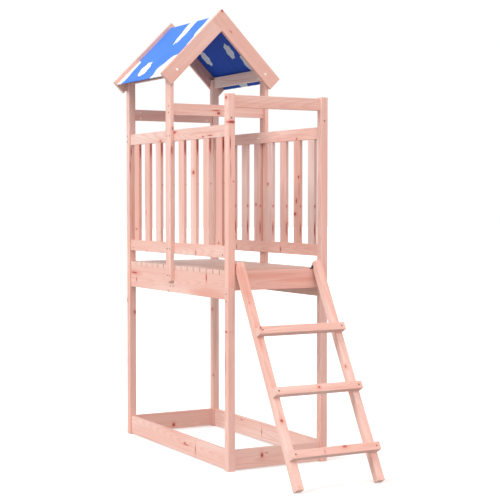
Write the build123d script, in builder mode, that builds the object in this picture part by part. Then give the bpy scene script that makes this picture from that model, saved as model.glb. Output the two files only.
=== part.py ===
from build123d import *
from math import cos, radians, sin, tan
import os

os.makedirs("parts", exist_ok=True)

# A play tower: a railed deck on four square posts, a ladder leaning on its front edge and,
# over its rear half, a gabled frame that carries a cloth roof. Sizes are millimetres.
# The ladder faces -Y, +Z is up, and the origin is on the ground at the centre of the outline.

# Outline over the posts, and the height of the deck
tower_width = 520.0
tower_length = 1120.0
deck_top = 898.0

# Timber sections, with their eased edges
post_side = 36.0
post_ease = 3.0
board_thick = 19.0
board_ease = 2.0

# Base boards, a little clear of the ground
base_tall = 89.0
base_lift = 5.0

# Deck and the beams under and around it
side_beam_tall = 112.0
end_beam_tall = 89.0
deck_thick = 19.0
deck_board_wide = 60.0
deck_gap_least = 5.0

# Railings along both sides
rail_tall = 55.0
rail_over_deck = 55.0
railing_height = 651.0
slat_wide = 56.0
slat_thick = 16.0
slat_gap_least = 70.0
slat_end_gap = 42.0

# Top bars that tie the posts, and how far the front posts rise past them
bar_tall = 56.0
bar_over_rail = 73.0
post_over_bar = 5.0

# Middle posts, boards fixed to the outside of the railings
middle_wide = 55.0
middle_thick = 19.0
middle_from_front = 570.0

# Roof frame
roof_pitch = 45.0
rafter_wide = 74.0
rafter_thick = 19.0
rafter_ease = 1.5
rafter_overhang = 65.0
eave_over_bar = 184.0
eave_tall = 55.0
ridge_wide = 19.0
ridge_tall = 36.0
post_to_cloth = 3.5

# Roof cloth, sunk between the gables and clear of what it lies on
cloth_thick = 1.5
cloth_drop = 17.0
cloth_gap = 0.3

# Ladder
ladder_lean = 29.4
ladder_gap = 4.0
ladder_rise = 21.0
first_tread = 143.0
tread_pitch = 283.0

# Steel brackets between the ladder and the front beam
bracket_leaf = 15.0
bracket_long = 15.0
bracket_thick = 2.5
bracket_round = 5.0
bracket_lap = 8.0

# Heights worked out from the sizes above
side_beam_top = deck_top - deck_thick
seam_height = side_beam_top - side_beam_tall / 2
rail_bottom = deck_top + rail_over_deck
slat_bottom = rail_bottom + rail_tall
rail_top = deck_top + railing_height
slat_top = rail_top - rail_tall
bar_bottom = rail_top + bar_over_rail
bar_top = bar_bottom + bar_tall
front_post_top = bar_top + post_over_bar
eave_top = bar_top + eave_over_bar

# Places across the tower, measured outwards from its middle
half_width = tower_width / 2
post_x = half_width - post_side / 2
inner_x = half_width - post_side
board_face_x = post_x + board_thick / 2
middle_face_x = board_face_x + middle_thick
end_span = 2 * inner_x

# Roof slopes: each is a line in X and Z that falls away from the ridge
slope_cos = cos(radians(roof_pitch))
slope_sin = sin(radians(roof_pitch))
slope_tan = tan(radians(roof_pitch))
under_ridge = eave_top + cloth_gap / slope_cos + board_face_x * slope_tan
cloth_ridge = under_ridge + cloth_thick / slope_cos
rafter_ridge = cloth_ridge + cloth_drop / slope_cos
rafter_x = half_width + rafter_overhang
rafter_foot = rafter_ridge - rafter_x * slope_tan


def under_cloth(x):
    return under_ridge - x * slope_tan


# Ladder plane: it runs up and back, and its back face bears on the front beam's eased edge
lean_cos = cos(radians(ladder_lean))
lean_sin = sin(radians(ladder_lean))
stringer_length = (deck_top + ladder_rise) / lean_cos
edge_relief = board_ease * (lean_cos + lean_sin - 1)
beam_set_back = (post_side - board_thick) / 2
foot_from_front = (deck_top * lean_sin - edge_relief) / lean_cos - beam_set_back
ladder_reach = foot_from_front + post_side * lean_cos

# Places along the tower: the front faces of the posts stand at front, the rear faces at rear
front = ladder_reach - (ladder_reach + tower_length + rafter_thick) / 2
rear = front + tower_length
front_post_y = front + post_side / 2
rear_post_y = rear - post_side / 2
side_front = front + post_side
side_rear = rear - post_side
side_span = side_rear - side_front
middle_front = front + middle_from_front
middle_y = middle_front + middle_wide / 2
roof_span = rear - middle_front

sides = ((-1, "left"), (1, "right"))


def save(piece, label):
    piece.part.label = label
    export_step(piece.part, f"parts/{label}.step")


# Legs and posts: each corner is a leg below and a post above, butted at the seam
rear_post_top = under_cloth(half_width) - post_to_cloth
corners = (("front", front_post_y, front_post_top), ("rear", rear_post_y, rear_post_top))
for side, hand in sides:
    for end, corner_y, post_top in corners:
        with BuildPart() as leg:
            with BuildSketch(Plane.XY):
                with Locations((side * post_x, corner_y)):
                    RectangleRounded(post_side, post_side, post_ease)
            extrude(amount=seam_height)
        save(leg, f"{end}_{hand}_leg")

        with BuildPart() as post:
            with BuildSketch(Plane.XY.offset(seam_height)):
                with Locations((side * post_x, corner_y)):
                    RectangleRounded(post_side, post_side, post_ease)
            extrude(amount=post_top - seam_height)
        save(post, f"{end}_{hand}_post")

# Middle posts: flat boards on the outside of the beams and rails, up to just under the cloth
middle_top = under_cloth(middle_face_x) - post_to_cloth
for side, hand in sides:
    with BuildPart() as middle_post:
        with BuildSketch(Plane.XY.offset(seam_height)):
            with Locations((side * (board_face_x + middle_thick / 2), middle_y)):
                RectangleRounded(middle_thick, middle_wide, board_ease)
        extrude(amount=middle_top - seam_height)
    save(middle_post, f"middle_{hand}_post")

# Boards that run along the sides, between the posts and centred on them
side_boards = (
    ("base_board", base_lift, base_tall),
    ("side_beam", side_beam_top - side_beam_tall, side_beam_tall),
    ("bottom_rail", rail_bottom, rail_tall),
    ("top_rail", slat_top, rail_tall),
)
for side, hand in sides:
    for kind, low, tall in side_boards:
        with BuildPart() as side_board:
            with BuildSketch(Plane.XZ.offset(-side_rear)):
                with Locations((side * post_x, low + tall / 2)):
                    RectangleRounded(board_thick, tall, board_ease)
            extrude(amount=side_span)
        save(side_board, f"{hand}_{kind}")

# Boards that run across the ends, between the posts and centred on them
end_boards = (
    ("base_board", base_lift, base_tall),
    ("end_beam", deck_top - end_beam_tall, end_beam_tall),
    ("top_bar", bar_bottom, bar_tall),
)
for end, end_y in (("front", front_post_y), ("rear", rear_post_y)):
    for kind, low, tall in end_boards:
        with BuildPart() as end_board:
            with BuildSketch(Plane.YZ.offset(-inner_x)):
                with Locations((end_y, low + tall / 2)):
                    RectangleRounded(board_thick, tall, board_ease)
            extrude(amount=end_span)
        save(end_board, f"{end}_{kind}")

# Middle top bar: it reaches across to the inner faces of the middle posts
with BuildPart() as middle_bar:
    with BuildSketch(Plane.YZ.offset(-board_face_x)):
        with Locations((middle_y, bar_bottom + bar_tall / 2)):
            RectangleRounded(board_thick, bar_tall, board_ease)
    extrude(amount=2 * board_face_x)
save(middle_bar, "middle_top_bar")

# Deck: evenly spaced boards across the side beams, as many as fit with the least gap
deck_count = int((side_span + deck_gap_least) // (deck_board_wide + deck_gap_least))
deck_pitch = (side_span - deck_board_wide) / (deck_count - 1)
with BuildPart() as deck_boards:
    with BuildSketch(Plane.YZ.offset(-board_face_x)):
        with Locations((side_front + side_span / 2, deck_top - deck_thick / 2)):
            with GridLocations(deck_pitch, deck_thick, deck_count, 1):
                RectangleRounded(deck_board_wide, deck_thick, board_ease)
    extrude(amount=2 * board_face_x)
save(deck_boards, "deck_boards")

# Slats: evenly spaced between the rails, as many as fit with the least gap
slat_span = side_span - 2 * slat_end_gap
slat_count = int((slat_span + slat_gap_least) // (slat_wide + slat_gap_least))
slat_pitch = (slat_span - slat_wide) / (slat_count - 1)
for side, hand in sides:
    with BuildPart() as slats:
        with BuildSketch(Plane.XY.offset(slat_bottom)):
            with Locations((side * post_x, side_front + side_span / 2)):
                with GridLocations(slat_thick, slat_pitch, 1, slat_count):
                    RectangleRounded(slat_thick, slat_wide, board_ease)
        extrude(amount=slat_top - slat_bottom)
    save(slats, f"{hand}_slats")

# Rafters: each right one runs on to the peak, and each left one butts under it
rafter_inner_ridge = rafter_ridge - rafter_wide / slope_cos
butt_x = -rafter_wide / (2 * slope_sin)
butt_z = rafter_ridge + butt_x * slope_tan
foot_in = rafter_wide * slope_sin
foot_down = rafter_wide * slope_cos
left_outline = (
    (-rafter_x, rafter_foot),
    (butt_x, butt_z),
    (0, rafter_inner_ridge),
    (-rafter_x + foot_in, rafter_foot - foot_down),
)
right_outline = (
    (rafter_x, rafter_foot),
    (0, rafter_ridge),
    (butt_x, butt_z),
    (rafter_x - foot_in, rafter_foot - foot_down),
)
gables = (("front", middle_front), ("rear", rear + rafter_thick))
for end, rear_face in gables:
    for hand, outline in (("left", left_outline), ("right", right_outline)):
        with BuildPart() as rafter:
            with BuildSketch(Plane.XZ.offset(-rear_face)):
                with BuildLine():
                    Polyline(*outline, close=True)
                make_face()
            extrude(amount=rafter_thick)
            faces_y = rafter.faces().sort_by(Axis.Y)
            fillet(faces_y[0].edges() + faces_y[-1].edges(), rafter_ease)
        save(rafter, f"{end}_{hand}_rafter")

# Eave beams: between the front rafters and the rear posts, in line with the railings
for side, hand in sides:
    with BuildPart() as eave_beam:
        with BuildSketch(Plane.XZ.offset(-side_rear)):
            with Locations((side * post_x, eave_top - eave_tall / 2)):
                RectangleRounded(board_thick, eave_tall, board_ease)
        extrude(amount=side_rear - middle_front)
    save(eave_beam, f"{hand}_eave_beam")

# Ridge beam: between the gables, its top edges just under the two slopes of cloth
ridge_top = under_cloth(ridge_wide / 2) - cloth_gap / slope_cos
with BuildPart() as ridge_beam:
    with BuildSketch(Plane.XZ.offset(-rear)):
        with Locations((0, ridge_top - ridge_tall / 2)):
            RectangleRounded(ridge_wide, ridge_tall, board_ease)
    extrude(amount=roof_span)
save(ridge_beam, "ridge_beam")

# Roof cloth: two flat slopes joined at the ridge, ending level with the rafters' feet
hem_edge_x = rafter_x - cloth_drop * slope_sin
hem_edge_z = rafter_foot - cloth_drop * slope_cos
hem_under_x = hem_edge_x - cloth_thick * slope_sin
hem_under_z = hem_edge_z - cloth_thick * slope_cos
with BuildPart() as roof_cloth:
    with BuildSketch(Plane.XZ.offset(-(rear - cloth_gap))):
        with BuildLine():
            Polyline(
                (-hem_edge_x, hem_edge_z),
                (0, cloth_ridge),
                (hem_edge_x, hem_edge_z),
                (hem_under_x, hem_under_z),
                (0, under_ridge),
                (-hem_under_x, hem_under_z),
                close=True,
            )
        make_face()
    extrude(amount=roof_span - 2 * cloth_gap)
save(roof_cloth, "roof_cloth")


def ladder_point(along, out):
    # A place on the ladder: so far up its back face, and so far out from that face
    foot_y = front - foot_from_front
    return (foot_y + along * lean_sin - out * lean_cos, along * lean_cos + out * lean_sin)


# Ladder stringers: square bars with square-cut ends, their feet standing on one edge
ladder_x = inner_x - ladder_gap
stringer_x = ladder_x - post_side / 2
foot_centre = ladder_point(0, post_side / 2)
for side, hand in sides:
    foot = Plane(origin=(side * stringer_x, *foot_centre), x_dir=(1, 0, 0), z_dir=(0, lean_sin, lean_cos))
    with BuildPart() as stringer:
        with BuildSketch(foot):
            RectangleRounded(post_side, post_side, post_ease)
        extrude(amount=stringer_length)
    save(stringer, f"{hand}_stringer")

# Ladder treads: square bars across the stringers' front faces, their ends flush
for step, height_name in enumerate(("bottom", "middle", "top")):
    tread_centre = ladder_point(first_tread + step * tread_pitch, 1.5 * post_side)
    tread_end = Plane(origin=(-ladder_x, *tread_centre), x_dir=(0, lean_sin, lean_cos), z_dir=(1, 0, 0))
    with BuildPart() as tread:
        with BuildSketch(tread_end):
            RectangleRounded(post_side, post_side, post_ease)
        extrude(amount=2 * ladder_x)
    save(tread, f"{height_name}_tread")

# Ladder brackets: small steel angles from each stringer's inner face to the front beam's top
bracket_x = ladder_x - post_side
bracket_front = front + beam_set_back - (bracket_long - bracket_lap)
for side, hand in sides:
    with BuildPart() as bracket:
        with BuildSketch(Plane.XZ.offset(-(bracket_front + bracket_long))):
            with BuildLine():
                Polyline(
                    (side * bracket_x, deck_top),
                    (side * bracket_x, deck_top + bracket_leaf),
                    (side * (bracket_x - bracket_thick), deck_top + bracket_leaf),
                    (side * (bracket_x - bracket_thick), deck_top + bracket_thick),
                    (side * (bracket_x - bracket_leaf), deck_top + bracket_thick),
                    (side * (bracket_x - bracket_leaf), deck_top),
                    close=True,
                )
            make_face()
        extrude(amount=bracket_long)
        leaf_ends = bracket.edges().filter_by(Axis.X).group_by(Axis.Z)[-1]
        foot_ends = bracket.edges().filter_by(Axis.Z).sort_by(Axis.X, reverse=side < 0)[:2]
        fillet(leaf_ends + foot_ends, bracket_round)
    save(bracket, f"{hand}_ladder_bracket")
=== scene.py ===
from math import atan2, cos, pi, radians, sin

import bpy
import numpy as np
from mathutils import Euler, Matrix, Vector


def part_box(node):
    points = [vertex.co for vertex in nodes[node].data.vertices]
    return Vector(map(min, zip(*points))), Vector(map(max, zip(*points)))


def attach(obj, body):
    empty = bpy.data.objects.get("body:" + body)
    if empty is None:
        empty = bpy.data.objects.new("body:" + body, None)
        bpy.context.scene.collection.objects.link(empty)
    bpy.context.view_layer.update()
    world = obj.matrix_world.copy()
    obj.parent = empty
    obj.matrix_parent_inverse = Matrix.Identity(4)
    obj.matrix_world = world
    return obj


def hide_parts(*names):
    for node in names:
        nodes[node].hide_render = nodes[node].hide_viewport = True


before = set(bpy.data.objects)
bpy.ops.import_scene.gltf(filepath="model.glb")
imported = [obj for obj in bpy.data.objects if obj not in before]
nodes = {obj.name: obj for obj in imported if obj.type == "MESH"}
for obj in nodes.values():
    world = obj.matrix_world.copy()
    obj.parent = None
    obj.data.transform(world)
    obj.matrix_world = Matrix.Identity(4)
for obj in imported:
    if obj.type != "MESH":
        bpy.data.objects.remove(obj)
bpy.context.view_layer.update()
scene = bpy.context.scene
print("tower loaded:", len(nodes), "nodes")


# Places read from the frame, in metres
def low(node, axis):
    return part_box(node)[0][axis]


def high(node, axis):
    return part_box(node)[1][axis]


def middle(node):
    return np.array([(low(node, axis) + high(node, axis)) / 2 for axis in range(3)])


legFace = high("front_right_leg", 0)         # outer faces of the legs and posts, out from the middle
frontFace = low("front_left_leg", 1)         # front face of the front posts
railFace = high("right_top_rail", 0)         # outer faces of rails, side beams and eave beams
railInner = low("right_top_rail", 0)
middleFace = high("middle_right_post", 0)    # outer faces of the middle posts
deckTop = high("deck_boards", 2)
gableFront = low("front_right_rafter", 1)
gableRear = high("rear_right_rafter", 1)
clothFront, clothRear = low("roof_cloth", 1), high("roof_cloth", 1)
clothTop = high("roof_cloth", 2)
clothReach = high("roof_cloth", 0)
print("deck", round(deckTop, 3), "cloth ridge", round(clothTop, 3))

# Camera, fitted to the photograph's frame
cameraView = {
    "place": (-2.9538, -5.3884, 1.2114), "turn": -28.889, "tilt": -2.190, "lens": 93.65, "sensor": 36.0,
    "nearest": 0.1, "furthest": 80.0,
}


def makeCamera(setup):
    data = bpy.data.cameras.new("viewCamera")
    data.lens = setup["lens"]
    data.sensor_width = setup["sensor"]
    data.clip_start = setup["nearest"]
    data.clip_end = setup["furthest"]
    camera = bpy.data.objects.new("viewCamera", data)
    camera.location = setup["place"]
    camera.rotation_euler = (radians(90.0 + setup["tilt"]), 0.0, radians(setup["turn"]))
    scene.collection.objects.link(camera)
    scene.camera = camera


makeCamera(cameraView)
scene.view_settings.view_transform = "Standard"  # plain colours, as in a catalogue photograph
print("camera placed")


# Small helpers for node trees
def addNode(tree, kind, settings=None, values=None):
    made = tree.nodes.new(kind)
    for key, value in (settings or {}).items():
        setattr(made, key, value)
    for key, value in (values or {}).items():
        if isinstance(value, bpy.types.NodeSocket):
            tree.links.new(value, made.inputs[key])
        else:
            made.inputs[key].default_value = value
    return made


def calc(tree, operation, first, second=0.0):
    return addNode(tree, "ShaderNodeMath", {"operation": operation}, {0: first, 1: second}).outputs[0]


def vector(tree, operation, first, second=(0.0, 0.0, 0.0), output=0):
    made = addNode(tree, "ShaderNodeVectorMath", {"operation": operation}, {0: first, 1: second})
    return made.outputs[output]


def scaled(tree, first, share):
    made = addNode(tree, "ShaderNodeVectorMath", {"operation": "SCALE"}, {0: first, "Scale": share})
    return made.outputs[0]


def stretched(tree, place, scale):
    return addNode(tree, "ShaderNodeMapping", None, {"Vector": place, "Scale": scale}).outputs["Vector"]


def fade(tree, value, fromLow, fromHigh, toLow=0.0, toHigh=1.0):
    # A smooth step between two values
    values = {"Value": value, "From Min": fromLow, "From Max": fromHigh, "To Min": toLow, "To Max": toHigh}
    return addNode(tree, "ShaderNodeMapRange", {"interpolation_type": "SMOOTHSTEP"}, values).outputs["Result"]


def noise(tree, place, scale, detail=2.0, roughness=0.5, output="Fac"):
    values = {"Vector": stretched(tree, place, scale), "Scale": 1.0, "Detail": detail, "Roughness": roughness}
    return addNode(tree, "ShaderNodeTexNoise", None, values).outputs[output]


def blendColour(tree, share, first, second):
    made = addNode(tree, "ShaderNodeMix", {"data_type": "RGBA"})
    for socket, value in ((made.inputs[0], share), (made.inputs[6], first), (made.inputs[7], second)):
        if isinstance(value, bpy.types.NodeSocket):
            tree.links.new(value, socket)
        else:
            socket.default_value = value if isinstance(value, float) else (*value, 1.0)
    return made.outputs[2]


def addRelief(tree, shader, height, strength, depth):
    # Bumps from a height, their depth in metres
    values = {"Height": height, "Strength": strength, "Distance": depth}
    bump = addNode(tree, "ShaderNodeBump", None, values)
    tree.links.new(bump.outputs["Normal"], shader.inputs["Normal"])


def newMaterial(name):
    made = bpy.data.materials.new(name)
    made.use_nodes = True
    return made, made.node_tree, made.node_tree.nodes["Principled BSDF"]


# Studio: a pale floor that glows a little more further out and lights nothing else, a surround that is
# brightest at the horizon and dims overhead and below, and soft lamps that light all of the tower evenly
studio = {
    "floorSize": 90.0, "floorColour": (0.76, 0.76, 0.76), "floorRoughness": 0.9, "floorSpecular": 0.1,
    "glowNear": 0.34, "glowFar": 0.50, "glowFrom": 0.7, "glowTo": 1.5,
    "horizon": 1.02, "overhead": 0.47, "dimsFrom": 0.14, "dimsTo": 0.32,
    "below": 0.46, "belowFrom": -0.30, "belowTo": -0.02, "lampDistance": 6.0,
    "lamps": {                                # where each comes from, spread in degrees, power and colour
        "leftLamp": ((-0.80, 0.0, 0.60), 24.0, 2.10, (1.0, 1.0, 1.0)),
        "frontLamp": ((-0.21, -0.79, 0.57), 34.0, 1.06, (1.0, 0.87, 0.86)),
        "rightLamp": ((0.28, -0.77, 0.57), 34.0, 0.55, (1.0, 0.83, 0.80)),
        "rearLamp": ((0.63, 0.64, 0.44), 40.0, 0.40, (1.0, 0.95, 0.94)),
    },
}


def makeStudio(setup):
    half = setup["floorSize"] / 2
    mesh = bpy.data.meshes.new("studioFloor")
    corners = [(-half, -half, 0), (half, -half, 0), (half, half, 0), (-half, half, 0)]
    mesh.from_pydata(corners, [], [(0, 1, 2, 3)])
    floor = bpy.data.objects.new("studioFloor", mesh)
    scene.collection.objects.link(floor)
    paint, tree, shader = newMaterial("paleFloor")
    shader.inputs["Base Color"].default_value = (*setup["floorColour"], 1.0)
    shader.inputs["Roughness"].default_value = setup["floorRoughness"]
    shader.inputs["Specular IOR Level"].default_value = setup["floorSpecular"]
    shader.inputs["Emission Color"].default_value = (1.0, 1.0, 1.0, 1.0)
    reach = vector(tree, "LENGTH", addNode(tree, "ShaderNodeTexCoord").outputs["Object"], output=1)
    glow = fade(tree, reach, setup["glowFrom"], setup["glowTo"], setup["glowNear"], setup["glowFar"])
    tree.links.new(glow, shader.inputs["Emission Strength"])
    mesh.materials.append(paint)
    floor.visible_diffuse = False             # its light would wash out the undersides

    world = bpy.data.worlds.new("brightSurround")
    world.use_nodes = True
    tree = world.node_tree
    height = addNode(tree, "ShaderNodeSeparateXYZ", None,
                     {0: addNode(tree, "ShaderNodeTexCoord").outputs["Generated"]}).outputs["Z"]
    strength = fade(tree, height, setup["dimsFrom"], setup["dimsTo"], setup["horizon"], setup["overhead"])
    under = fade(tree, height, setup["belowFrom"], setup["belowTo"], setup["below"], 1.0)
    tree.links.new(calc(tree, "MULTIPLY", strength, under), tree.nodes["Background"].inputs["Strength"])
    tree.nodes["Background"].inputs["Color"].default_value = (1.0, 1.0, 1.0, 1.0)
    scene.world = world

    for name, (towards, spread, power, tint) in setup["lamps"].items():
        light = bpy.data.lights.new(name, "SUN")
        light.angle = radians(spread)
        light.energy = power
        light.color = tint
        holder = bpy.data.objects.new(name, light)
        x, y, z = towards
        holder.location = Vector(towards) * setup["lampDistance"]
        holder.rotation_euler = (pi / 2 - atan2(z, (x * x + y * y) ** 0.5), 0.0, atan2(x, -y))
        scene.collection.objects.link(holder)


makeStudio(studio)
print("studio lit")

# Timber: pinkish planed softwood
timberLook = {
    "pale": (0.812, 0.572, 0.502), "pink": (0.760, 0.468, 0.394), "heart": (0.690, 0.330, 0.258),
    "late": (0.620, 0.290, 0.225), "streak": (0.540, 0.110, 0.085), "knot": (0.200, 0.034, 0.028),
    "endGrain": (0.760, 0.530, 0.455), "bleached": (0.820, 0.645, 0.595), "rosy": (0.715, 0.365, 0.290),
    "ringStep": 0.0046, "roughness": 0.58, "specular": 0.30, "relief": 0.0004, "firstSeed": 20,
    "pithAway": (0.030, 0.075), "pithAside": 0.020, "slant": 0.045, "wander": 0.030, "wobble": 0.5,
    "knotSpread": 16.0,
}
# Scales of the timber's noises, across the grain twice and along it
timberGrain = {
    "fibre": (520.0, 520.0, 9.0), "line": (165.0, 165.0, 1.7), "band": (55.0, 55.0, 1.4),
    "patch": (11.0, 11.0, 1.5), "ring": (30.0, 30.0, 2.5), "wander": (6.0, 6.0, 1.1),
    "wobble": (240.0, 240.0, 120.0), "knots": (8.0, 8.0, 4.2),
}
# Knots and thin streaks: place, half width across the grain and half length along it, in metres
timberKnots = {
    "front_right_rafter": [((0.002, 0.2455, 2.134), 0.010, 0.009), ((0.048, 0.2455, 2.033), 0.003, 0.008)],
    "middle_top_bar": [((0.0, 0.2825, 1.637), 0.008, 0.010), ((-0.012, 0.2825, 1.650), 0.003, 0.026)],
    "front_left_post": [
        ((-0.260, -0.288, 1.665), 0.012, 0.008), ((-0.240, -0.3055, 1.557), 0.028, 0.007),
        ((-0.2485, -0.3055, 1.462), 0.0028, 0.040), ((-0.246, -0.3055, 1.350), 0.0015, 0.050),
        ((-0.2326, -0.3055, 1.295), 0.003, 0.004)],
    "middle_left_post": [((-0.2625, 0.2645, 1.452), 0.004, 0.022), ((-0.257, 0.2645, 1.556), 0.005, 0.009)],
    "front_right_post": [((0.2168, -0.3055, 1.380), 0.003, 0.004)],
    "rear_left_post": [((-0.2490, 0.7785, 1.460), 0.003, 0.024), ((-0.2550, 0.7785, 1.385), 0.002, 0.030)],
    "left_top_rail": [
        ((-0.2515, -0.0445, 1.503), 0.004, 0.011), ((-0.2515, -0.115, 1.506), 0.003, 0.028),
        ((-0.2515, 0.256, 1.536), 0.006, 0.020)],
    "right_top_rail": [((0.2325, -0.0711, 1.502), 0.006, 0.006)],
    "left_slats": [
        ((-0.250, 0.057, 1.341), 0.014, 0.010), ((-0.250, 0.5945, 1.150), 0.004, 0.014),
        ((-0.250, 0.596, 1.280), 0.0016, 0.190), ((-0.250, 0.7127, 1.065), 0.013, 0.004),
        ((-0.250, -0.1976, 1.019), 0.007, 0.007)],
    "left_bottom_rail": [
        ((-0.2515, 0.0314, 0.964), 0.014, 0.0048), ((-0.2515, 0.5804, 0.9555), 0.003, 0.008)],
    "right_bottom_rail": [((0.2325, 0.0789, 0.974), 0.013, 0.006), ((0.2325, 0.5307, 0.972), 0.011, 0.005)],
    "left_side_beam": [
        ((-0.2515, 0.735, 0.841), 0.0055, 0.042), ((-0.2515, 0.711, 0.808), 0.012, 0.0055),
        ((-0.2515, -0.076, 0.857), 0.022, 0.0070), ((-0.2515, 0.330, 0.769), 0.005, 0.008)],
    "rear_left_leg": [((-0.2308, 0.7785, 0.634), 0.007, 0.010)],
    "rear_right_leg": [((0.224, 0.790, 0.629), 0.006, 0.012), ((0.224, 0.781, 0.276), 0.004, 0.007)],
    "front_left_leg": [((-0.260, -0.285, 0.626), 0.016, 0.004), ((-0.260, -0.2794, 0.4775), 0.0018, 0.060)],
    "left_stringer": [
        ((-0.2128, -0.4155, 0.7648), 0.004, 0.005), ((-0.2103, -0.4969, 0.6203), 0.002, 0.030),
        ((-0.2053, -0.6862, 0.2844), 0.008, 0.009)],
    "top_tread": [((-0.2102, -0.5144, 0.6626), 0.010, 0.004)],
    "right_stringer": [((0.184, -0.577, 0.4785), 0.007, 0.009), ((0.184, -0.567, 0.560), 0.0025, 0.034)],
    "right_slats": [
        ((0.234, 0.3265, 1.190), 0.007, 0.007), ((0.234, 0.410, 1.130), 0.003, 0.055),
        ((0.234, -0.0875, 1.3217), 0.009, 0.009), ((0.234, -0.0920, 1.258), 0.0028, 0.060),
        ((0.234, -0.0556, 1.1459), 0.014, 0.009), ((0.234, 0.2050, 1.2918), 0.008, 0.007)],
    "left_base_board": [
        ((-0.2515, 0.1498, 0.0563), 0.005, 0.012), ((-0.2515, 0.0388, 0.0430), 0.026, 0.004),
        ((-0.2515, 0.1420, 0.0500), 0.003, 0.040)],
    "rear_base_board": [((-0.0066, 0.787, 0.027), 0.012, 0.010)],
    "right_base_board": [((0.2325, 0.2636, 0.0492), 0.017, 0.004), ((0.2325, 0.4748, 0.0800), 0.003, 0.009)],
    "front_base_board": [
        ((-0.0825, -0.297, 0.0590), 0.013, 0.008), ((-0.0590, -0.297, 0.0680), 0.003, 0.005)],
    "middle_tread": [((-0.002, -0.6587, 0.4100), 0.008, 0.008), ((0.078, -0.6587, 0.4140), 0.003, 0.022)],
    "bottom_tread": [((-0.060, -0.7976, 0.1600), 0.009, 0.002), ((0.185, -0.7976, 0.1640), 0.003, 0.008)],
}
# Marks that come back on every board of a row, their Y measured from the board's middle. On the left slats
# the first, just under the top rail, is a red streak and also a painted shadow of the rail
rowMarksAndShadow = {
    "left_slats": [((-0.242, -0.028, 1.462), 0.0048, 0.042), ((-0.238, -0.028, 1.287), 0.002, 0.003)],
    "right_slats": [((0.2385, -0.028, 1.183), 0.0032, 0.006), ((0.2375, -0.028, 1.075), 0.0032, 0.036)],
}
# Soft red zones in the wood, given like the knots
timberBlush = {
    "left_side_beam": [((-0.2515, -0.110, 0.776), 0.034, 0.170), ((-0.2515, 0.720, 0.842), 0.014, 0.080)],
    "front_end_beam": [((-0.060, -0.297, 0.872), 0.014, 0.170), ((0.120, -0.297, 0.850), 0.012, 0.100)],
    "left_stringer": [((-0.2128, -0.3650, 0.8500), 0.022, 0.110), ((-0.2103, -0.4950, 0.6203), 0.010, 0.070)],
}
# How far a board leans to the paler (below 0) or the redder wood; a row has one number for each board
timberTone = {
    "left_slats": (0.45, -0.10, 0.0, -0.05, -0.10, -0.30, -0.05, 0.45),
    "right_slats": (-0.90, 0.30, 0.0, -0.50, 0.05, -0.35, 0.15, -0.20),
    "deck_boards": (0.55, 0.35, 0.2, 0.1, 0.1, 0.0, 0.0, -0.1,
                    -0.2, -0.3, -0.3, -0.2, -0.3, -0.3, -0.4, -0.7),
    "left_top_rail": -0.35, "middle_left_post": -0.10, "middle_top_bar": -0.10, "right_bottom_rail": -0.20,
    "front_end_beam": 0.40, "front_left_post": 0.15, "rear_left_leg": -0.10, "right_eave_beam": -0.45,
    "front_right_leg": 0.20, "left_base_board": -0.12, "front_top_bar": 0.30, "front_right_post": 0.15,
    "front_left_leg": 0.30, "front_left_rafter": 0.15, "left_stringer": -0.05, "right_stringer": 0.0,
}
# Painted shade and light: pieces whose colour is multiplied by a factor for each channel, off the sawn ends
# Painted shade darkens and greys the deck boards, the right side beam under the deck, the rear right rafter
# and the right slats. Painted light makes the right eave beam bluer, as if lit by the blue cloth above it,
# and the front left post lighter on its front
shadeAndLightTint = {
    "deck_boards": (0.84, 0.96, 0.97), "right_side_beam": (0.94, 0.94, 0.93),
    "rear_right_rafter": (0.93, 0.91, 0.90), "right_eave_beam": (1.10, 1.26, 1.26),
    "right_slats": (0.93, 0.94, 0.95), "front_left_post": (1.06, 1.05, 1.04),
}
lean = radians(29.4)                         # of the ladder, from the vertical
ladderUp = (0.0, sin(lean), cos(lean))
ladderOut = np.array((0.0, -cos(lean), sin(lean)))


def grainOf(node):
    if node.endswith(("leg", "post", "slats")):
        return (0.0, 0.0, 1.0)
    if node.endswith("stringer"):
        return ladderUp
    if node.endswith("rafter"):
        return (0.5 ** 0.5, 0.0, 0.5 ** 0.5) if "left" in node else (-0.5 ** 0.5, 0.0, 0.5 ** 0.5)
    alongSide = node.startswith(("left_", "right_")) and node.endswith(("board", "beam", "rail"))
    return (0.0, 1.0, 0.0) if alongSide or node == "ridge_beam" else (1.0, 0.0, 0.0)


def grainTurn(direction):
    # Angles that lay the grain's direction along Z
    if abs(direction[0]) < 1e-6:
        return (atan2(direction[1], direction[2]), 0.0, 0.0)
    return (0.0, -atan2(direction[0], direction[2]), 0.0)


# Width and count of the boards in each row
boardRows = {"deck_boards": (0.060, 16), "left_slats": (0.056, 8), "right_slats": (0.056, 8)}


def boardSteps(node):
    # Start and pitch, along Y, of a node that holds a row of separate boards
    if node not in boardRows:
        return None
    wide, count = boardRows[node]
    pitch = (high(node, 1) - low(node, 1) - wide) / (count - 1)
    return low(node, 1) - (pitch - wide) / 2, pitch


def toneSteps(tree, share, tones):
    # One held value for each board along a row
    ramp = addNode(tree, "ShaderNodeValToRGB", None, {"Fac": share})
    ramp.color_ramp.interpolation = "CONSTANT"
    for count, tone in enumerate(tones):
        if count > 1:
            ramp.color_ramp.elements.new(count / len(tones))
        step = ramp.color_ramp.elements[count]
        step.position = count / len(tones)
        step.color = ((tone + 1) / 2,) * 3 + (1.0,)
    return fade(tree, ramp.outputs["Color"], 0.0, 1.0, -1.0, 1.0)


def awayFrom(tree, place, spot, across, along):
    # The way from a spot, in its half widths across the grain and its half lengths along it
    return vector(tree, "DIVIDE", vector(tree, "SUBTRACT", place, tuple(spot)), (across, across, along))


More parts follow.
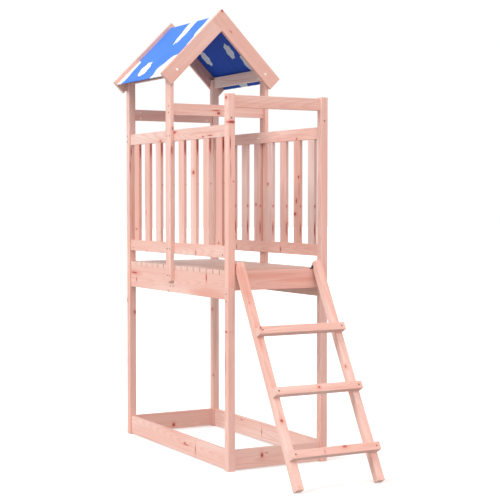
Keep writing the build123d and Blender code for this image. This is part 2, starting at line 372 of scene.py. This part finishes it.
def makeTimber(node, look, seed):
    # Rings are the fraction of the distance from a pith line that leans and wanders beside the board
    draw = np.random.default_rng(seed)
    paint, tree, shader = newMaterial(f"timber_{node}")
    direction = grainOf(node)
    turn = Euler(grainTurn(direction), "XYZ")
    centre = Vector(middle(node))
    place = addNode(tree, "ShaderNodeTexCoord").outputs["Object"]
    own, pick = place, None
    tone = timberTone.get(node, 0.0)
    steps = boardSteps(node)
    if steps:
        # Each board of a row gets coordinates, a random number and a tone of its own
        start, pitch = steps
        parts = addNode(tree, "ShaderNodeSeparateXYZ", None, {0: place})
        count = calc(tree, "DIVIDE", calc(tree, "SUBTRACT", parts.outputs[1], start), pitch)
        whole = calc(tree, "FLOOR", count)
        pick = addNode(tree, "ShaderNodeTexWhiteNoise", {"noise_dimensions": "1D"},
                       {"W": calc(tree, "ADD", whole, seed * 1.7)})
        tone = toneSteps(tree, calc(tree, "DIVIDE", calc(tree, "ADD", whole, 0.5), len(tone)), tone)
        within = calc(tree, "MULTIPLY", calc(tree, "FRACT", count), pitch)
        local = calc(tree, "ADD", within, centre[1] - pitch / 2)
        own = addNode(tree, "ShaderNodeCombineXYZ", None,
                      {"X": parts.outputs[0], "Y": local, "Z": parts.outputs[2]}).outputs[0]
    centred = vector(tree, "SUBTRACT", own, tuple(centre))
    turned = addNode(tree, "ShaderNodeMapping", None, {"Vector": centred, "Rotation": turn}).outputs["Vector"]
    strewn = vector(tree, "ADD", turned, tuple(draw.uniform(-5.0, 5.0, 3)))
    if pick is not None:
        strewn = vector(tree, "ADD", strewn, scaled(tree, pick.outputs["Color"], 9.0))

    # Knots: a few listed, the rest the cores of cells drawn out along the grain
    cells = addNode(tree, "ShaderNodeTexVoronoi", None,
                    {"Vector": stretched(tree, strewn, timberGrain["knots"]), "Scale": 1.0})
    uneven = calc(tree, "SUBTRACT", noise(tree, strewn, timberGrain["wobble"]), 0.5)
    reach = calc(tree, "MULTIPLY", cells.outputs["Distance"], look["knotSpread"])
    push = None
    if pick is None:
        for spot, across, along in timberKnots.get(node, []):
            away = awayFrom(tree, turned, turn.to_matrix() @ (Vector(spot) - centre), across, along)
            length = vector(tree, "LENGTH", away, output=1)
            reach = calc(tree, "MINIMUM", reach, length)
            shove = scaled(tree, away, fade(tree, length, 0.0, 3.2, across * 0.45, 0.0))
            push = shove if push is None else vector(tree, "ADD", push, shove)
    else:
        marks = [(place, spot, across, along) for spot, across, along in timberKnots.get(node, [])]
        # Row marks; on the left slats the mark under the top rail is partly a painted shadow of the rail
        marks += [(own, (spot[0], spot[1] + centre[1], spot[2]), across, along)
                  for spot, across, along in rowMarksAndShadow.get(node, [])]
        for origin, spot, across, along in marks:
            away = awayFrom(tree, origin, spot, across, along)
            reach = calc(tree, "MINIMUM", reach, vector(tree, "LENGTH", away, output=1))
    reach = calc(tree, "ADD", reach, calc(tree, "MULTIPLY", uneven, look["wobble"]))
    coreMask = fade(tree, reach, 0.30, 0.75, 1.0, 0.0)
    knotMask = fade(tree, reach, 0.70, 1.15, 1.0, 0.0)
    haloMask = fade(tree, reach, 0.9, 3.0, 1.0, 0.0)

    # Rings round the pith line, which lies off the board's broad side; knots push them aside
    wander = noise(tree, strewn, timberGrain["wander"], 2.0, 0.5, "Color")
    wander = vector(tree, "SUBTRACT", wander, (0.5, 0.5, 0.5))
    bent = vector(tree, "ADD", turned, scaled(tree, wander, look["wander"]))
    if push is not None:
        bent = vector(tree, "SUBTRACT", bent, push)
    size = np.array(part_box(node)[1]) - np.array(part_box(node)[0])
    if steps:
        size[1] = pitch
    widths = np.abs(np.array(turn.to_matrix()) @ size)
    thin = 0 if widths[0] <= widths[1] else 1
    pith = [0.0, 0.0]
    pith[thin] = draw.choice((-1.0, 1.0)) * draw.uniform(*look["pithAway"])
    pith[1 - thin] = draw.uniform(-look["pithAside"], look["pithAside"])
    slant = draw.uniform(-look["slant"], look["slant"], 2)
    parts = addNode(tree, "ShaderNodeSeparateXYZ", None, {0: bent})
    sides = []
    for axis in (0, 1):
        start = pith[axis]
        if pick is not None:
            extra = addNode(tree, "ShaderNodeSeparateColor", None, {0: pick.outputs["Color"]}).outputs[axis]
            start = calc(tree, "MULTIPLY_ADD", extra, 0.05)
            start.node.inputs[2].default_value = pith[axis] - 0.025
        drift = calc(tree, "MULTIPLY", parts.outputs[2], float(slant[axis]))
        sides.append(calc(tree, "SUBTRACT", calc(tree, "SUBTRACT", parts.outputs[axis], start), drift))
    flat = addNode(tree, "ShaderNodeCombineXYZ", None, {"X": sides[0], "Y": sides[1]}).outputs[0]
    radius = vector(tree, "LENGTH", flat, output=1)
    growth = calc(tree, "DIVIDE", radius, look["ringStep"])
    ring = calc(tree, "FRACT", calc(tree, "ADD", growth, noise(tree, strewn, timberGrain["ring"], 1.0)))
    late = calc(tree, "MULTIPLY", fade(tree, ring, 0.30, 0.90), fade(tree, ring, 0.92, 1.0, 1.0, 0.0))

    fibre = noise(tree, strewn, timberGrain["fibre"], 3.0)
    line = noise(tree, strewn, timberGrain["line"], 2.0, 0.6)
    band = noise(tree, strewn, timberGrain["band"], 4.0, 0.6)
    patch = noise(tree, strewn, timberGrain["patch"], 3.0)
    heart = fade(tree, calc(tree, "ADD", radius, calc(tree, "MULTIPLY", patch, 0.05)), 0.050, 0.068, 1.0, 0.0)

    colour = blendColour(tree, fade(tree, patch, 0.36, 0.64), look["pale"], look["pink"])
    if steps or tone != 0.0:
        colour = blendColour(tree, fade(tree, tone, 0.0, -1.0, 0.0, 0.9), colour, look["bleached"])
        colour = blendColour(tree, fade(tree, tone, 0.0, 1.0, 0.0, 0.9), colour, look["rosy"])
    for spot, across, along in timberBlush.get(node, []):
        away = awayFrom(tree, turned, turn.to_matrix() @ (Vector(spot) - centre), across, along)
        ragged = calc(tree, "MULTIPLY", calc(tree, "SUBTRACT", line, 0.5), 2.0)
        zone = calc(tree, "ADD", vector(tree, "LENGTH", away, output=1), ragged)
        colour = blendColour(tree, fade(tree, zone, 0.5, 1.4, 0.85, 0.0), colour, look["heart"])
    colour = blendColour(tree, calc(tree, "MULTIPLY", heart, 0.28), colour, look["heart"])
    colour = blendColour(tree, calc(tree, "MULTIPLY", late, 0.30), colour, look["late"])
    colour = blendColour(tree, fade(tree, band, 0.50, 0.80, 0.0, 0.45), colour, look["heart"])
    colour = blendColour(tree, fade(tree, line, 0.55, 0.78, 0.0, 0.60), colour, look["late"])
    streak = calc(tree, "MULTIPLY", fade(tree, band, 0.62, 0.78), fade(tree, patch, 0.50, 0.68))
    colour = blendColour(tree, calc(tree, "MULTIPLY", streak, 0.70), colour, look["streak"])
    colour = blendColour(tree, fade(tree, fibre, 0.35, 0.75, 0.0, 0.14), colour, look["late"])
    colour = blendColour(tree, calc(tree, "MULTIPLY", haloMask, 0.55), colour, look["heart"])
    colour = blendColour(tree, calc(tree, "MULTIPLY", knotMask, 0.85), colour, look["streak"])
    colour = blendColour(tree, calc(tree, "MULTIPLY", coreMask, 0.75), colour, look["knot"])

    normal = addNode(tree, "ShaderNodeNewGeometry").outputs["True Normal"]
    facing = vector(tree, "DOT_PRODUCT", normal, direction, output=1)
    sawn = fade(tree, calc(tree, "ABSOLUTE", facing), 0.80, 0.95)
    sawnColour = blendColour(tree, calc(tree, "MULTIPLY", late, 0.55), look["endGrain"], look["heart"])
    colour = blendColour(tree, calc(tree, "MULTIPLY", sawn, 0.80), colour, sawnColour)
    # Painted shade and light: the piece's factors from the table above, off the sawn ends
    if node in shadeAndLightTint:
        colour = blendColour(tree, sawn, vector(tree, "MULTIPLY", colour, shadeAndLightTint[node]), colour)
    tree.links.new(colour, shader.inputs["Base Color"])

    shader.inputs["Specular IOR Level"].default_value = look["specular"]
    roughness = fade(tree, band, 0.3, 0.8, look["roughness"] - 0.05, look["roughness"] + 0.10)
    tree.links.new(roughness, shader.inputs["Roughness"])
    relief = calc(tree, "ADD", calc(tree, "MULTIPLY", fibre, 0.6), calc(tree, "MULTIPLY", late, 0.4))
    relief = calc(tree, "SUBTRACT", relief, calc(tree, "MULTIPLY", coreMask, 0.8))
    addRelief(tree, shader, relief, 0.5, look["relief"])
    return paint


def paintNode(node, paint):
    mesh = nodes[node].data
    mesh.materials.clear()
    mesh.materials.append(paint)


timberNodes = [node for node in sorted(nodes) if node != "roof_cloth" and not node.endswith("bracket")]
for count, node in enumerate(timberNodes):
    paintNode(node, makeTimber(node, timberLook, timberLook["firstSeed"] + count))
print("timber painted:", len(timberNodes), "nodes")


# Meshes from arrays
def meshFrom(name, points, quads, triangles=None, paint=None):
    # Vertices, four-cornered and three-cornered faces are put in as whole arrays
    mesh = bpy.data.meshes.new(name)
    triangles = np.zeros((0, 3), int) if triangles is None else triangles
    corners = np.concatenate([quads.ravel(), triangles.ravel()])
    sizes = np.concatenate([np.full(len(quads), 4), np.full(len(triangles), 3)])
    mesh.vertices.add(len(points))
    mesh.vertices.foreach_set("co", points.astype(np.float32).ravel())
    mesh.loops.add(len(corners))
    mesh.loops.foreach_set("vertex_index", corners.astype(np.int32))
    mesh.polygons.add(len(sizes))
    mesh.polygons.foreach_set("loop_start", (np.cumsum(sizes) - sizes).astype(np.int32))
    mesh.polygons.foreach_set("loop_total", sizes.astype(np.int32))
    mesh.update(calc_edges=True)
    mesh.validate()
    piece = bpy.data.objects.new(name, mesh)
    scene.collection.objects.link(piece)
    if paint is not None:
        mesh.materials.append(paint)
    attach(piece, "root")
    return piece


def unit(vectors):
    return vectors / np.linalg.norm(vectors, axis=-1, keepdims=True)


def setCopies(name, points, quads, triangles, places, normals, headings, paint):
    # One small shape set down many times: its Z along each normal, its X along each heading
    normals = unit(np.asarray(normals, float))
    headings = np.asarray(headings, float)
    headings = unit(headings - (headings * normals).sum(1, keepdims=True) * normals)
    side = np.cross(normals, headings)
    spots = (np.asarray(places, float)[:, None] + points[None, :, 0:1] * headings[:, None]
             + points[None, :, 1:2] * side[:, None] + points[None, :, 2:3] * normals[:, None])
    shift = (np.arange(len(places)) * len(points))[:, None, None]
    return meshFrom(name, spots.reshape(-1, 3), (quads[None] + shift).reshape(-1, 4),
                    (triangles[None] + shift).reshape(-1, 3), paint)


def revolved(profile, sides, lobes=0, ripple=0.0, rippled=()):
    # A profile of (radius, height) from its top pole to its bottom pole, turned round Z. Where a ring is
    # rippled, its radius is multiplied by 1 + ripple times the cosine of lobes times the angle
    profile = np.array(profile)
    angle = np.arange(sides) * 2 * pi / sides
    rings = profile[1:-1]
    swell = np.ones((len(rings), sides))
    swell[list(rippled)] += ripple * np.cos(lobes * angle)
    radius = rings[:, :1] * swell
    heights = np.broadcast_to(rings[:, 1:], radius.shape)
    body = np.stack([radius * np.cos(angle), radius * np.sin(angle), heights], -1)
    points = np.concatenate([body.reshape(-1, 3), [(0, 0, profile[0, 1]), (0, 0, profile[-1, 1])]])
    index = np.arange(len(rings) * sides).reshape(len(rings), sides)
    after = np.roll(index, -1, axis=1)
    quads = np.stack([index[:-1], index[1:], after[1:], after[:-1]], -1).reshape(-1, 4)
    top, bottom = len(points) - 2, len(points) - 1
    triangles = np.concatenate([
        np.stack([np.full(sides, top), index[0], after[0]], -1),
        np.stack([np.full(sides, bottom), after[-1], index[-1]], -1)])
    return points, quads, triangles


# Metal finishes
def makeMetal(name, colour, roughness, metallic, mottle):
    # Plated or painted metal, its roughness uneven by a fine noise
    paint, tree, shader = newMaterial(name)
    place = addNode(tree, "ShaderNodeTexCoord").outputs["Object"]
    grime = noise(tree, place, (350.0, 350.0, 350.0), 3.0)
    shade = tuple(channel * (1.0 - mottle) for channel in colour)
    mottled = blendColour(tree, fade(tree, grime, 0.35, 0.65), colour, shade)
    tree.links.new(mottled, shader.inputs["Base Color"])
    uneven = fade(tree, grime, 0.3, 0.7, roughness - 0.06, roughness + 0.08)
    tree.links.new(uneven, shader.inputs["Roughness"])
    addRelief(tree, shader, grime, 0.3, 0.0001)
    shader.inputs["Metallic"].default_value = metallic
    return paint


zincPaint = makeMetal("brightZinc", (0.84, 0.76, 0.70), 0.36, 0.9, 0.15)
screwPaint = makeMetal("dullScrewSteel", (0.150, 0.125, 0.115), 0.42, 1.0, 0.35)
blackPaint = makeMetal("blackSteel", (0.014, 0.014, 0.015), 0.42, 0.0, 0.35)
yellowPaint = makeMetal("yellowZinc", (0.62, 0.50, 0.20), 0.34, 1.0, 0.2)
for hand in ("left", "right"):
    paintNode(f"{hand}_ladder_bracket", blackPaint)

# Screws: star-recessed heads that stand a little proud. Bolts: low domes on the gables
screwHead = {
    "profile": [(0.0, 0.0002), (0.0013, 0.0002), (0.0016, 0.0008), (0.0030, 0.0008), (0.0037, 0.0003),
                (0.0037, -0.0010), (0.0, -0.0010)],
    "sides": 12, "lobes": 6, "ripple": 0.16, "rippled": (0, 1),
}
boltHead = {
    "profile": [(0.0, 0.0042), (0.0027, 0.0040), (0.0051, 0.0032), (0.0068, 0.0018), (0.0075, 0.0004),
                (0.0075, -0.0010), (0.0, -0.0010)],
    "sides": 24,
}
pointCap = {
    "profile": [(0.0, 0.0021), (0.0016, 0.0020), (0.0031, 0.0015), (0.0042, 0.0008), (0.0046, 0.0002),
                (0.0046, -0.0010), (0.0, -0.0010)],
    "sides": 16,
}
bracketScrew = {
    "profile": [(0.0, 0.0007), (0.0010, 0.0006), (0.0017, 0.0002), (0.0017, -0.0010), (0.0, -0.0010)],
    "sides": 12,
}


def bothSides(rows):
    # Each row is (place, normal); its mirror image across the middle is added
    rows = np.array(rows, float).reshape(-1, 2, 3)
    flip = rows.copy()
    flip[:, :, 0] *= -1
    return np.concatenate([rows, flip])


def setFasteners(name, setup, rows, paint):
    shape = revolved(setup["profile"], setup["sides"], setup.get("lobes", 0), setup.get("ripple", 0.0),
                     setup.get("rippled", ()))
    turns = np.random.default_rng(len(rows)).uniform(-pi, pi, len(rows))
    headings = np.stack([np.cos(turns), np.sin(turns) * 0.7, np.sin(turns) + 0.3], -1)
    return setCopies(name, *shape, rows[:, 0], rows[:, 1], headings, paint)


outX, inX, frontY, backY = (1, 0, 0), (-1, 0, 0), (0, -1, 0), (0, 1, 0)
postMiddle = (low("middle_right_post", 1) + high("middle_right_post", 1)) / 2
# Heights and places of the frame's screws, on the right side
screwPlaces = {
    "postHeights": (0.849, 0.978, 1.520), "postSteps": (-0.016, 0.0095),
    "barHeights": (1.633, 1.664), "barPlace": 0.2852,
    "railEnds": (-0.236, 0.7467), "railHeight": 0.967,
    "rearPostHeights": (1.512, 1.540), "rearPostPlace": 0.8003,
    "seamHeights": (0.7613, 0.7942), "seamInset": 0.019, "beamPlaces": (0.2728, 0.3064), "beamHeight": 0.7967,
    "frontPost": (0.2419, 1.5757), "rearBarAside": 0.1918, "rearBarHeights": (1.6347, 1.6650),
    "eaveBeam": ((0.742, 1.836), (0.7305, 1.821), (0.3066, 1.820), (0.292, 1.848)),
    "pointHeights": (0.979, 1.521), "pointSteps": (-0.012, 0.0095),
    "treadAside": 0.202, "treadFace": 0.018, "deckAside": 0.242, "deckInset": 0.015,
}


def makeFrameScrews(setup):
    # Middle posts, bottom rails, rear posts, front legs under the seam, side beams, front posts
    rows = [((middleFace, postMiddle + step, height), outX)
            for height in setup["postHeights"] for step in setup["postSteps"]]
    rows += [((middleFace, setup["barPlace"], height), outX) for height in setup["barHeights"]]
    rows += [((railFace, place, setup["railHeight"]), outX) for place in setup["railEnds"]]
    rows += [((legFace, setup["rearPostPlace"], height), outX) for height in setup["rearPostHeights"]]
    rows += [((legFace, frontFace + setup["seamInset"], height), outX) for height in setup["seamHeights"]]
    rows += [((railFace, place, setup["beamHeight"]), outX) for place in setup["beamPlaces"]]
    aside, height = setup["frontPost"]
    return bothSides(rows + [((aside, frontFace, height), frontY)])


def makeInnerScrews(setup):
    # Screws' points that come through on the inside: rear bar, eave beams and rails
    rows = [((setup["rearBarAside"], low("rear_top_bar", 1), height), frontY)
            for height in setup["rearBarHeights"]]
    rows += [((railInner, place, height), inX) for place, height in setup["eaveBeam"]]
    rows += [((railInner, postMiddle + step, height), inX)
             for height in setup["pointHeights"] for step in setup["pointSteps"]]
    return bothSides(rows)


def makeTreadScrews(setup):
    faces = [middle(tread) + ladderOut * setup["treadFace"]
             for tread in ("bottom_tread", "middle_tread", "top_tread")]
    return np.array([((hand * setup["treadAside"], face[1], face[2]), tuple(ladderOut))
                     for face in faces for hand in (-1, 1)], float)


def makeDeckScrews(setup):
    # Two screws at each end of each board
    start, pitch = boardSteps("deck_boards")
    boards = start + (np.arange(boardRows["deck_boards"][1]) + 0.5) * pitch
    inset = setup["deckInset"]
    hand, along, step = np.meshgrid((-1.0, 1.0), boards, (-inset, inset), indexing="ij")
    heights = np.full(hand.size, deckTop)
    places = np.stack([hand.ravel() * setup["deckAside"], (along + step).ravel(), heights], -1)
    return np.stack([places, np.broadcast_to((0.0, 0.0, 1.0), places.shape)], 1)


setFasteners("frame_screws", screwHead, makeFrameScrews(screwPlaces), screwPaint)
setFasteners("inner_screws", pointCap, makeInnerScrews(screwPlaces), zincPaint)
setFasteners("tread_screws", screwHead, makeTreadScrews(screwPlaces), screwPaint)
setFasteners("deck_screws", screwHead, makeDeckScrews(screwPlaces), screwPaint)
gableBolts = bothSides([((0.2417, gableFront, 1.836), frontY), ((0.2417, gableRear, 1.836), backY)])
setFasteners("gable_bolts", boltHead, gableBolts, zincPaint)
peakScrews = np.array([((0, gableFront, 2.0935), frontY), ((0, gableRear, 2.0935), backY)], float)
setFasteners("peak_screws", screwHead, peakScrews, yellowPaint)
leafMiddle = (low("right_ladder_bracket", 1) + high("right_ladder_bracket", 1)) / 2
bracketRows = [((0.1815, leafMiddle, 0.9075), inX), ((0.1750, leafMiddle + 0.001, 0.9005), (0, 0, 1))]
setFasteners("bracket_screws", bracketScrew, bothSides(bracketRows), blackPaint)
print("fasteners set")

# Roof cloth: one printed sheet over the ridge, hemmed all round
clothCut = {
    "slope": clothReach * 2 ** 0.5, "thick": 0.0012, "ridgeRound": 0.0020, "fold": 0.006, "sag": 0.0035,
    "ripple": 0.0007, "waveStep": 0.078, "hem": 0.020, "hemRise": 0.0008,
    "ridgeRest": 0.016, "eaveRest": 0.356, "step": 0.0045,
}
# The underside's blue and clouds are the print showing through, darkened as painted shade; the gap colour is
# painted shade between the threads
clothPrint = {
    "blue": (0.064, 0.222, 0.810), "brighter": (0.078, 0.248, 0.860), "cloud": (0.88, 0.89, 0.90),
    "shadedUnderBlue": (0.006, 0.078, 0.535), "shadedUnderCloud": (0.70, 0.84, 0.93), "gap": (0.02, 0.06, 0.20),
    "yarn": 0.0016, "gapShare": 0.10, "specular": 0.12, "sheen": 0.04, "relief": 0.0002,
}
# Clouds: slope distance from the ridge (left is negative), distance from the front edge, half length,
# half width, heading, waves round the edge, where they start, and their depth
clothClouds = [
    (-0.045, 0.283, 0.125, 0.038, 4, 9, 0.4, 0.06), (-0.350, 0.344, 0.062, 0.042, 34, 7, 1.1, 0.07),
    (-0.420, 0.585, 0.180, 0.098, 0, 9, 2.0, 0.05), (-0.386, 0.028, 0.132, 0.128, 0, 9, 0.9, 0.05),
    (-0.060, 0.030, 0.165, 0.082, 0, 10, 1.6, 0.06), (0.212, 0.183, 0.050, 0.030, 24, 7, 0.2, 0.09),
    (0.224, 0.462, 0.052, 0.033, 8, 8, 1.3, 0.08), (0.318, 0.100, 0.068, 0.044, 0, 7, 2.4, 0.09),
    (0.430, 0.322, 0.042, 0.040, 0, 7, 0.6, 0.08), (0.062, 0.395, 0.050, 0.030, 20, 7, 1.9, 0.08),
]


def clothPoints(cut, slope, along, lift):
    # A tent whose height falls by the root of x squared and a small ridge rounding squared. Between ridge
    # and eave beam it sags by a parabola, and cosine ripples along the eave fade towards the ridge; the
    # lift is along the normal
    free = np.clip((np.abs(slope) - cut["ridgeRest"]) / (cut["eaveRest"] - cut["ridgeRest"]), 0.0, 1.0)
    bulge = np.sin(pi * np.clip((along - clothFront) / (clothRear - clothFront), 0.0, 1.0))
    dip = cut["sag"] * 4 * free * (1 - free) * (0.55 + 0.45 * bulge)
    dip = dip + cut["ripple"] * free ** 3 * np.cos(2 * pi * along / cut["waveStep"]) * bulge
    x = slope / 2 ** 0.5
    z = clothTop - np.sqrt(x ** 2 + cut["ridgeRound"] ** 2)
    tip = np.clip(x / cut["fold"], -1.0, 1.0) * pi / 4
    away = lift - dip
    return np.stack([x + away * np.sin(tip), along, z + away * np.cos(tip)], -1)


def cloudField(slope, along):
    # For each cloud, how far inside its waved ellipse a point lies; the clouds' union is their greatest
    field = np.full(slope.shape, -1.0)
    for atSlope, atAlong, half, wide, heading, waves, start, depth in clothClouds:
        turn = radians(heading)
        a = ((slope - atSlope) * cos(turn) + (along - clothFront - atAlong) * sin(turn)) / half
        b = ((along - clothFront - atAlong) * cos(turn) - (slope - atSlope) * sin(turn)) / wide
        angle = np.arctan2(b, a)
        broad = 0.5 * depth * np.sin((waves - 4) * angle + 2.6 * start)
        edge = 1 + depth * np.sin(waves * angle + start) + broad
        field = np.maximum(field, (edge - np.hypot(a, b)) * wide)
    return field


def finer(ends, step, extra):
    # Even lines at about the step, with extra ones beside folds and edges
    count = int(round((ends[1] - ends[0]) / step)) + 1
    return np.unique(np.round(np.concatenate([np.linspace(ends[0], ends[1], count), extra]), 6))


def hemRise(cut, slope, along):
    # 1 within the hem's width of any edge, falling to 0 over a millimetre
    inner = np.minimum(cut["slope"] - np.abs(slope), np.minimum(along - clothFront, clothRear - along))
    return 1 - np.clip((inner - cut["hem"]) / 0.001, 0.0, 1.0)


def makeCloth(cut):
    half = cut["slope"]
    folds = np.array([cut["hem"], cut["hem"] + 0.0005, cut["hem"] + 0.001])
    ridge = np.array([0.0, 0.0015, 0.003, 0.005, 0.007, 0.009])
    slopes = finer((-half, half), cut["step"], np.concatenate([half - folds, folds - half, ridge, -ridge]))
    ends = np.concatenate([clothFront + folds, clothRear - folds])
    alongs = finer((clothFront, clothRear), cut["step"], ends)
    slope, along = np.meshgrid(slopes, alongs, indexing="ij")
    rise = cut["hemRise"] * hemRise(cut, slope, along)
    top = clothPoints(cut, slope, along, rise)
    under = clothPoints(cut, slope, along, -cut["thick"])
    count = slope.size
    index = np.arange(count).reshape(slope.shape)

    def between(a, b, c, d):
        return np.stack([a, b, c, d], -1).reshape(-1, 4)
    quads = np.concatenate([
        between(index[:-1, :-1], index[1:, :-1], index[1:, 1:], index[:-1, 1:]),
        between(index[:-1, :-1], index[:-1, 1:], index[1:, 1:], index[1:, :-1]) + count,
        between(index[:-1, 0], index[:-1, 0] + count, index[1:, 0] + count, index[1:, 0]),
        between(index[:-1, -1], index[1:, -1], index[1:, -1] + count, index[:-1, -1] + count),
        between(index[0, :-1], index[0, 1:], index[0, 1:] + count, index[0, :-1] + count),
        between(index[-1, :-1], index[-1, :-1] + count, index[-1, 1:] + count, index[-1, 1:])])
    piece = meshFrom("cloud_cloth", np.concatenate([top.reshape(-1, 3), under.reshape(-1, 3)]), quads)
    mesh = piece.data
    field = np.tile(cloudField(slope, along).ravel(), 2)
    side = np.repeat([0.0, 1.0], count)
    mesh.attributes.new("cloudField", "FLOAT", "POINT").data.foreach_set("value", field.astype(np.float32))
    mesh.attributes.new("underside", "FLOAT", "POINT").data.foreach_set("value", side.astype(np.float32))
    layer = mesh.uv_layers.new(name="clothUv")
    flatPlace = np.stack([(slope + half) / (2 * half), (along - clothFront) / (clothRear - clothFront)], -1)
    flatPlace = np.tile(flatPlace.reshape(-1, 2), (2, 1))
    corner = np.zeros(len(mesh.loops), np.int32)
    mesh.loops.foreach_get("vertex_index", corner)
    layer.data.foreach_set("uv", flatPlace[corner].astype(np.float32).ravel())
    mesh.polygons.foreach_set("use_smooth", np.ones(len(mesh.polygons), bool))
    return piece


def makeClothPaint(cut, look):
    # The print is the cloud field cut off at zero; the weave is the product of two sine waves over the sheet
    paint, tree, shader = newMaterial("printedCloth")
    field = addNode(tree, "ShaderNodeAttribute", {"attribute_name": "cloudField"}).outputs["Fac"]
    under = addNode(tree, "ShaderNodeAttribute", {"attribute_name": "underside"}).outputs["Fac"]
    sheet = addNode(tree, "ShaderNodeUVMap", {"uv_map": "clothUv"}).outputs["UV"]
    metres = vector(tree, "MULTIPLY", sheet, (2 * cut["slope"], clothRear - clothFront, 1.0))
    parts = addNode(tree, "ShaderNodeSeparateXYZ", None, {0: metres})
    yarn = 2 * pi / look["yarn"]
    weave = calc(tree, "MULTIPLY", calc(tree, "SINE", calc(tree, "MULTIPLY", parts.outputs[0], yarn)),
                 calc(tree, "SINE", calc(tree, "MULTIPLY", parts.outputs[1], yarn)))
    slub = noise(tree, metres, (40.0, 900.0, 1.0), 2.0)
    fading = noise(tree, metres, (7.0, 7.0, 1.0), 3.0)
    inside = fade(tree, calc(tree, "ADD", field, calc(tree, "MULTIPLY", weave, 0.0002)), -0.0005, 0.0005)
    blue = blendColour(tree, fade(tree, fading, 0.3, 0.7), look["blue"], look["brighter"])
    upper = blendColour(tree, inside, blue, look["cloud"])
    # The underside: the print showing through, darkened as painted shade
    shadedUnder = blendColour(tree, inside, look["shadedUnderBlue"], look["shadedUnderCloud"])
    colour = blendColour(tree, under, upper, shadedUnder)
    thread = calc(tree, "MULTIPLY", calc(tree, "ADD", weave, 1.0), 0.5)
    # Painted shade in the gaps between the threads
    gaps = calc(tree, "MULTIPLY", calc(tree, "SUBTRACT", 1.0, thread), look["gapShare"])
    colour = blendColour(tree, gaps, colour, look["gap"])
    tree.links.new(colour, shader.inputs["Base Color"])
    tree.links.new(fade(tree, slub, 0.2, 0.8, 0.66, 0.80), shader.inputs["Roughness"])
    shader.inputs["Specular IOR Level"].default_value = look["specular"]
    shader.inputs["Sheen Weight"].default_value = look["sheen"]
    shader.inputs["Sheen Roughness"].default_value = 0.5
    height = calc(tree, "ADD", calc(tree, "MULTIPLY", thread, 0.7), calc(tree, "MULTIPLY", slub, 0.3))
    addRelief(tree, shader, height, 0.5, look["relief"])
    return paint


roofCloth = makeCloth(clothCut)
roofCloth.data.materials.append(makeClothPaint(clothCut, clothPrint))
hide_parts("roof_cloth")
print("cloth stretched:", len(roofCloth.data.polygons), "faces")

# Stitches: two rows along each eave hem and one along each gable hem
stitching = {
    "pitch": 0.0042, "half": 0.0015, "thread": 0.00045, "rows": (0.0035, 0.0175), "sideRow": 0.0165,
    "margin": 0.004, "ridgeGap": 0.006, "lift": 0.0001,
    "blue": (0.05, 0.14, 0.52), "brighter": (0.08, 0.20, 0.66),
}


def makeStitches(cut, sewing):
    half = cut["slope"]
    eaveRun = np.arange(clothFront + sewing["margin"], clothRear - sewing["margin"], sewing["pitch"])
    sideRun = np.arange(-half + sewing["margin"], half - sewing["margin"], sewing["pitch"])
    sideRun = sideRun[np.abs(sideRun) > sewing["ridgeGap"]]
    rows = [(np.full(eaveRun.shape, hand * (half - inset)), eaveRun, 0)
            for hand in (-1, 1) for inset in sewing["rows"]]
    rows += [(sideRun, np.full(sideRun.shape, edge), 1)
             for edge in (clothFront + sewing["sideRow"], clothRear - sewing["sideRow"])]
    slope = np.concatenate([row[0] for row in rows])
    along = np.concatenate([row[1] for row in rows])
    turned = np.concatenate([np.full(row[0].shape, row[2]) for row in rows])
    places = clothPoints(cut, slope, along, cut["hemRise"] + sewing["lift"])
    normals = np.stack([np.sign(slope), 0 * slope, np.ones(slope.shape)], -1)
    downhill = np.stack([np.sign(slope), 0 * slope, -np.ones(slope.shape)], -1)
    headings = np.where(turned[:, None] == 1, downhill, np.array([[0.0, 1.0, 0.0]]))
    # One stitch: an ellipsoid of five rings, half its length long
    rings = np.linspace(0, pi, 5)[1:-1]
    profile = [(0.0, sewing["half"])] + [(sewing["thread"] * sin(a), sewing["half"] * cos(a)) for a in rings]
    points, quads, triangles = revolved(profile + [(0.0, -sewing["half"])], 6)
    points = points[:, [2, 0, 1]]             # its length along X
    paint, tree, shader = newMaterial("blueThread")
    place = addNode(tree, "ShaderNodeTexCoord").outputs["Object"]
    twist = noise(tree, place, (1500.0, 1500.0, 1500.0), 2.0)
    colour = blendColour(tree, fade(tree, twist, 0.3, 0.7), sewing["blue"], sewing["brighter"])
    tree.links.new(colour, shader.inputs["Base Color"])
    shader.inputs["Roughness"].default_value = 0.7
    return setCopies("hem_stitches", points, quads, triangles, places, normals, headings, paint)


stitches = makeStitches(clothCut, stitching)
print("stitches sewn")
